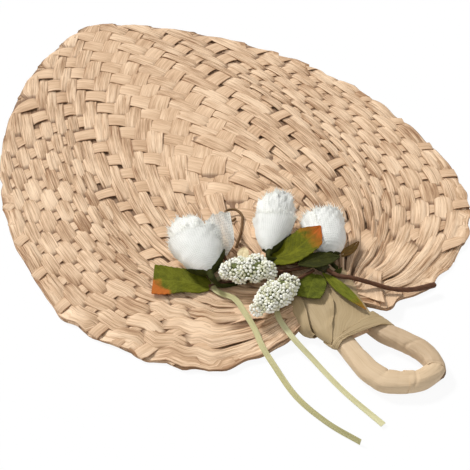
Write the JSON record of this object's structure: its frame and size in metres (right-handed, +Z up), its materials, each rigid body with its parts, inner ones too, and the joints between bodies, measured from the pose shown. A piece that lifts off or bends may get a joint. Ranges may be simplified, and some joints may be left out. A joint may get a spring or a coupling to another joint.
{
  "type": "palm leaf hand fan",
  "caption": "Hand fan plaited from flat palm leaf strips in a heart-shaped blade, with a wrapped loop handle, a tied spray of cloth rosebuds, leaves and berries, and two ribbon tails.",
  "frame": {"origin": "middle of the underside of the fan without its ribbon tails, on the table it lies on", "axes": "+Y along the fan's axis from the handle to the tip, +X to the right seen from the flower side, +Z up out of the flower side"},
  "size_m": [0.2566, 0.3834, 0.028],
  "materials": {
    "palm_leaf": "dry fibrous leaf, matte with a faint sheen along the fibres",
    "palm_bundle": "dry fibrous leaf bundle, matte",
    "rose_cloth": "sheer woven gauze with frayed edges",
    "green_leaf": "printed cloth leaf, green with an orange tip, veined",
    "dark_leaf": "printed cloth leaf, dark green, veined",
    "brown_leaf": "printed cloth leaf, olive brown",
    "dark_tape": "crepe stem tape, dark green, satin",
    "brown_tape": "crepe stem tape, brown, wound in a spiral",
    "cream_bract": "thin dried bract, matte",
    "berry_beads": "small off-white beads over green",
    "ribbon_sage": "sheer organza ribbon, satin"
  },
  "bodies": {
    "root": {"strip_right_01": "palm_leaf", "strip_right_02": "palm_leaf", "strip_right_03": "palm_leaf", "strip_right_04": "palm_leaf", "strip_right_05": "palm_leaf", "strip_right_06": "palm_leaf", "strip_right_07": "palm_leaf", "strip_right_08": "palm_leaf", "strip_right_09": "palm_leaf", "strip_right_10": "palm_leaf", "strip_right_11": "palm_leaf", "strip_right_12": "palm_leaf", "strip_right_13": "palm_leaf", "strip_right_14": "palm_leaf", "strip_right_15": "palm_leaf", "strip_right_16": "palm_leaf", "strip_left_01": "palm_leaf", "strip_left_02": "palm_leaf", "strip_left_03": "palm_leaf", "strip_left_04": "palm_leaf", "strip_left_05": "palm_leaf", "strip_left_06": "palm_leaf", "strip_left_07": "palm_leaf", "strip_left_08": "palm_leaf", "strip_left_09": "palm_leaf", "strip_left_10": "palm_leaf", "strip_left_11": "palm_leaf", "strip_left_12": "palm_leaf", "strip_left_13": "palm_leaf", "strip_left_14": "palm_leaf", "strip_left_15": "palm_leaf", "strip_left_16": "palm_leaf", "neck_core": "palm_bundle", "neck_wrap_upper": "palm_leaf", "neck_wrap_lower": "palm_leaf", "loop_core": "palm_bundle", "loop_wrap_left": "palm_leaf", "loop_wrap_end": "palm_leaf", "loop_wrap_right": "palm_leaf", "bud_left": "rose_cloth", "bud_stem_left": "dark_tape", "bud_middle": "rose_cloth", "bud_stem_middle": "dark_tape", "bud_right": "rose_cloth", "bud_stem_right": "dark_tape", "binding_tape": "dark_tape", "leaf_left": "green_leaf", "leaf_middle": "green_leaf", "leaf_right": "dark_leaf", "leaf_narrow": "brown_leaf", "leaf_round": "dark_leaf", "leaf_slender": "green_leaf", "petal_left": "rose_cloth", "bract": "cream_bract", "berries_upper": "berry_beads", "berries_lower": "berry_beads", "main_stem": "brown_tape", "tendril": "brown_tape", "ribbon_left": "ribbon_sage", "ribbon_right": "ribbon_sage"}
  },
  "joints": []
}
